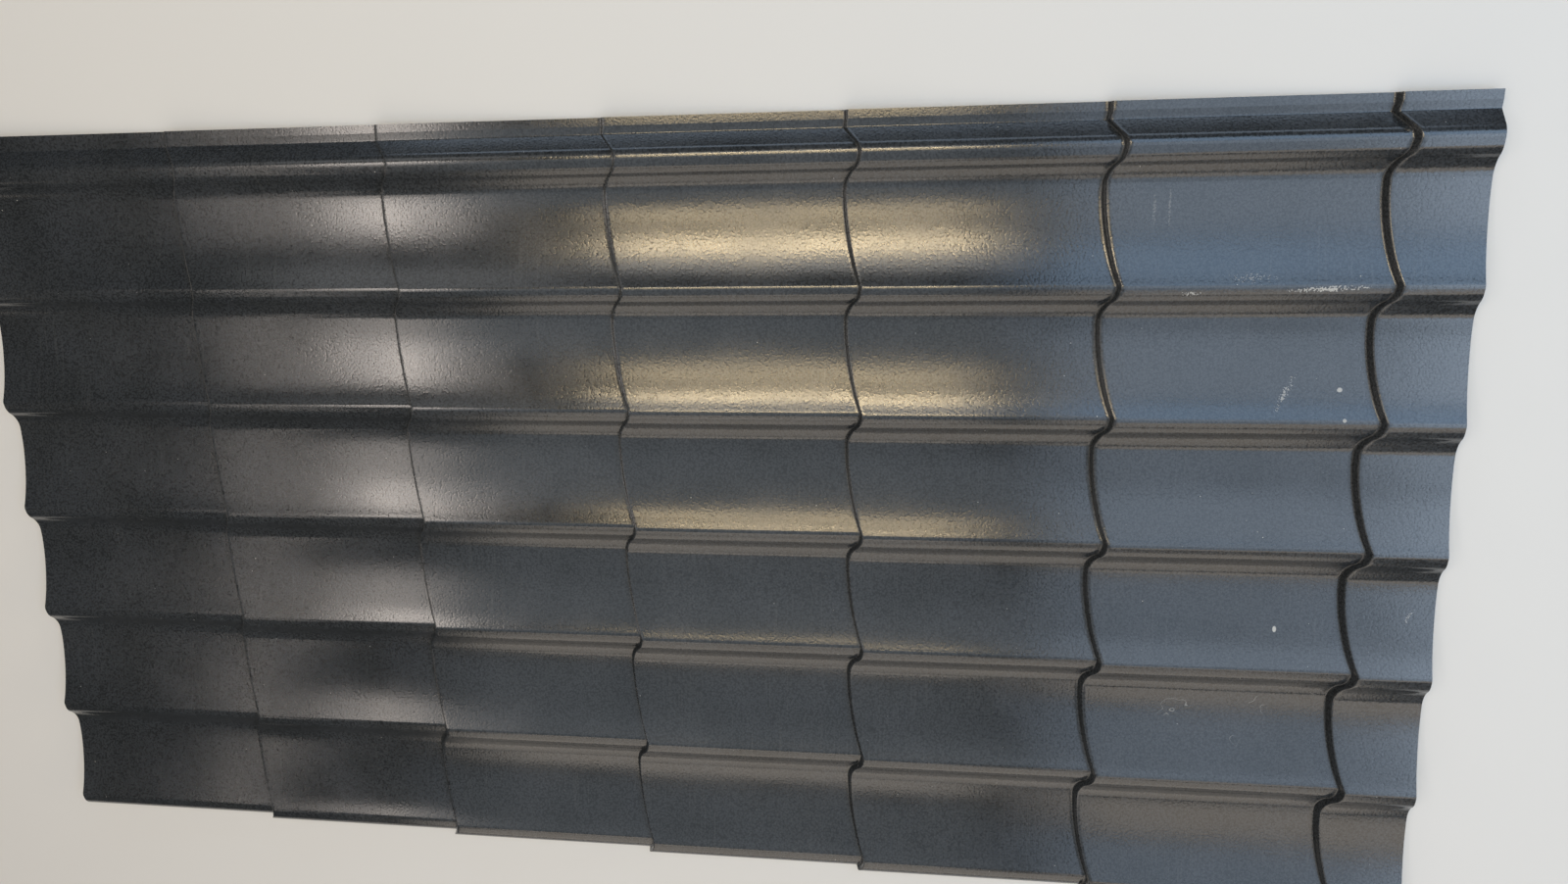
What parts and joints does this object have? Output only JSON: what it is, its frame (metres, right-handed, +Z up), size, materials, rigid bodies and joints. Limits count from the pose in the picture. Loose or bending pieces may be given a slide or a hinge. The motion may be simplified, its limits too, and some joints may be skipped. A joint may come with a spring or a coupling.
{
  "type": "pantile roofing sheet",
  "caption": "Pressed steel roofing sheet whose waves and cross steps imitate rows of clay pantiles, with a drain groove and flat land along one long edge and a short lip along the other.",
  "frame": {"origin": "centre of the sheet's bounding box, on the level floor it lies on", "axes": "+X up the roof, from the eaves end to the ridge end; +Y across the waves, to the long edge that lies under the next sheet; +Z up, out of the painted face"},
  "size_m": [2.23, 1.18, 0.0391],
  "materials": {
    "painted_steel": "semi-gloss"
  },
  "bodies": {
    "root": {"roof_sheet": "painted_steel"}
  },
  "joints": []
}
